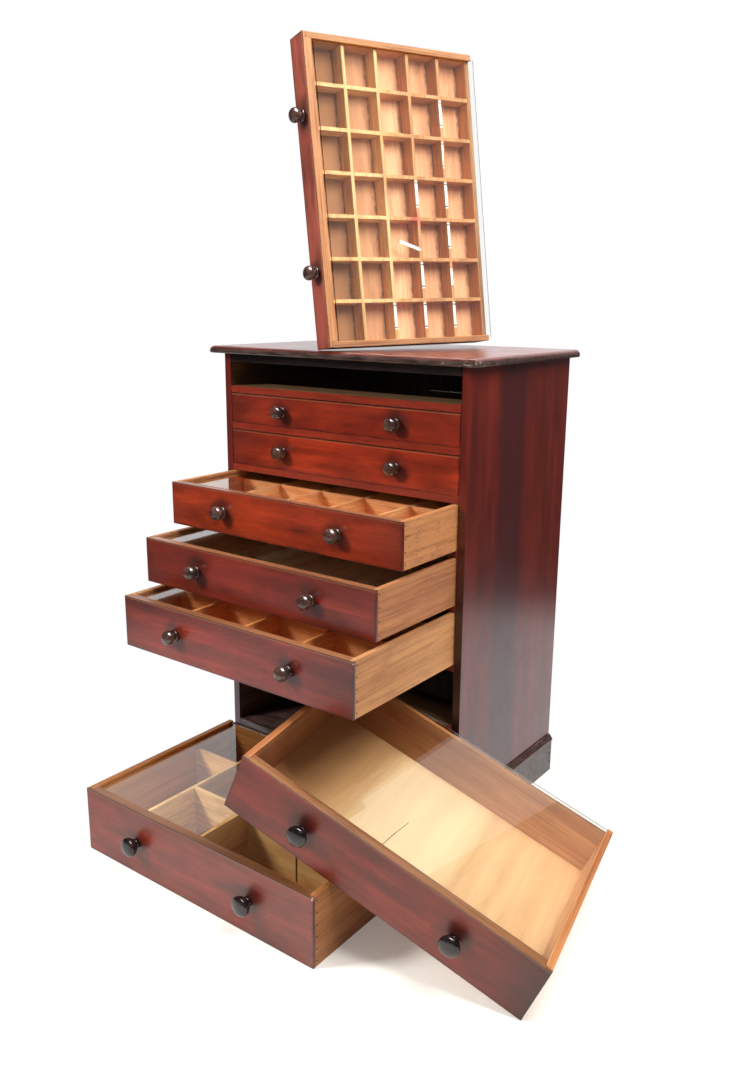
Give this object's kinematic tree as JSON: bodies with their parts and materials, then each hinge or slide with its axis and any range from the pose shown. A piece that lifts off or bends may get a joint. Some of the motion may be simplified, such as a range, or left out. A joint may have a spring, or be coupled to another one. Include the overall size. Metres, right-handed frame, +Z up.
{
  "type": "collectors cabinet",
  "caption": "Free-standing wooden collectors cabinet with glazed sliding drawers, some partitioned into cells, turned knobs and a moulded top and plinth.",
  "frame": {"origin": "middle of the front plinth board's underside, on the floor", "axes": "+Z up, -Y out of the cabinet's front, +X to the right as seen from the front"},
  "size_m": [0.7264, 0.6321, 1.1115],
  "materials": {
    "red_stained_wood": "red-brown stain under worn gloss varnish",
    "blackened_moulding": "blackened and varnished",
    "drawer_softwood": "bare aged softwood",
    "partition_wood": "bare aged softwood",
    "ebonised_knob": "ebonised and polished",
    "sheet_glass": "clear sheet glass"
  },
  "bodies": {
    "carcase": {"top_board": "red_stained_wood", "side_left": "red_stained_wood", "side_right": "red_stained_wood", "back_panel": "drawer_softwood", "bottom_board": "red_stained_wood", "top_rail": "blackened_moulding", "rail_1": "red_stained_wood", "rail_2": "red_stained_wood", "rail_3": "red_stained_wood", "rail_4": "red_stained_wood", "rail_5": "red_stained_wood", "rail_6": "red_stained_wood", "rail_7": "red_stained_wood", "plinth_front": "blackened_moulding", "plinth_left": "blackened_moulding", "plinth_right": "blackened_moulding"},
    "drawer_1": {"front_1": "red_stained_wood", "tray_1": "drawer_softwood", "knob_left_1": "ebonised_knob", "knob_right_1": "ebonised_knob", "partitions_1": "partition_wood"},
    "drawer_2": {"front_2": "red_stained_wood", "tray_2": "drawer_softwood", "knob_left_2": "ebonised_knob", "knob_right_2": "ebonised_knob", "glass_2": "sheet_glass"},
    "drawer_3": {"front_3": "red_stained_wood", "tray_3": "drawer_softwood", "knob_left_3": "ebonised_knob", "knob_right_3": "ebonised_knob", "glass_3": "sheet_glass"},
    "drawer_4": {"front_4": "red_stained_wood", "tray_4": "drawer_softwood", "knob_left_4": "ebonised_knob", "knob_right_4": "ebonised_knob", "glass_4": "sheet_glass", "partitions_4": "partition_wood"},
    "drawer_5": {"front_5": "red_stained_wood", "tray_5": "drawer_softwood", "knob_left_5": "ebonised_knob", "knob_right_5": "ebonised_knob", "glass_5": "sheet_glass"},
    "drawer_6": {"front_6": "red_stained_wood", "tray_6": "drawer_softwood", "knob_left_6": "ebonised_knob", "knob_right_6": "ebonised_knob", "glass_6": "sheet_glass", "partitions_6": "partition_wood"},
    "drawer_7": {"front_7": "red_stained_wood", "tray_7": "drawer_softwood", "knob_left_7": "ebonised_knob", "knob_right_7": "ebonised_knob", "glass_7": "sheet_glass"},
    "drawer_8": {"front_8": "red_stained_wood", "tray_8": "drawer_softwood", "knob_left_8": "ebonised_knob", "knob_right_8": "ebonised_knob", "glass_8": "sheet_glass", "partitions_8": "partition_wood"},
    "pane_1": {"glass_1": "sheet_glass"}
  },
  "joints": [
    {"name": "drawer_2_slide", "type": "slide", "parent": "carcase", "child": "drawer_2", "axis": [0, -1, 0], "range_m": [0, 0.24]},
    {"name": "drawer_3_slide", "type": "slide", "parent": "carcase", "child": "drawer_3", "axis": [0, -1, 0], "range_m": [0, 0.24]},
    {"name": "drawer_4_slide", "type": "slide", "parent": "carcase", "child": "drawer_4", "axis": [0, -1, 0], "range_m": [-0.1275, 0.1125]},
    {"name": "drawer_5_slide", "type": "slide", "parent": "carcase", "child": "drawer_5", "axis": [0, -1, 0], "range_m": [-0.1806, 0.0594]},
    {"name": "drawer_6_slide", "type": "slide", "parent": "carcase", "child": "drawer_6", "axis": [0, -1, 0], "range_m": [-0.2244, 0.0156]},
    {"name": "drawer_8_away", "type": "slide", "parent": "carcase", "child": "drawer_8", "axis": [0, -1, 0], "range_m": [0, 0.3]},
    {"name": "drawer_7_away", "type": "slide", "parent": "drawer_8", "child": "drawer_7", "axis": [1, 0, 0], "range_m": [0, 0.3]},
    {"name": "drawer_1_lift", "type": "slide", "parent": "carcase", "child": "drawer_1", "axis": [0, 0, 1], "range_m": [0, 0.3]},
    {"name": "pane_1_slide", "type": "slide", "parent": "drawer_1", "child": "pane_1", "axis": [0.359, 0.9331, 0.019], "range_m": [-0.008, 0.25]}
  ]
}
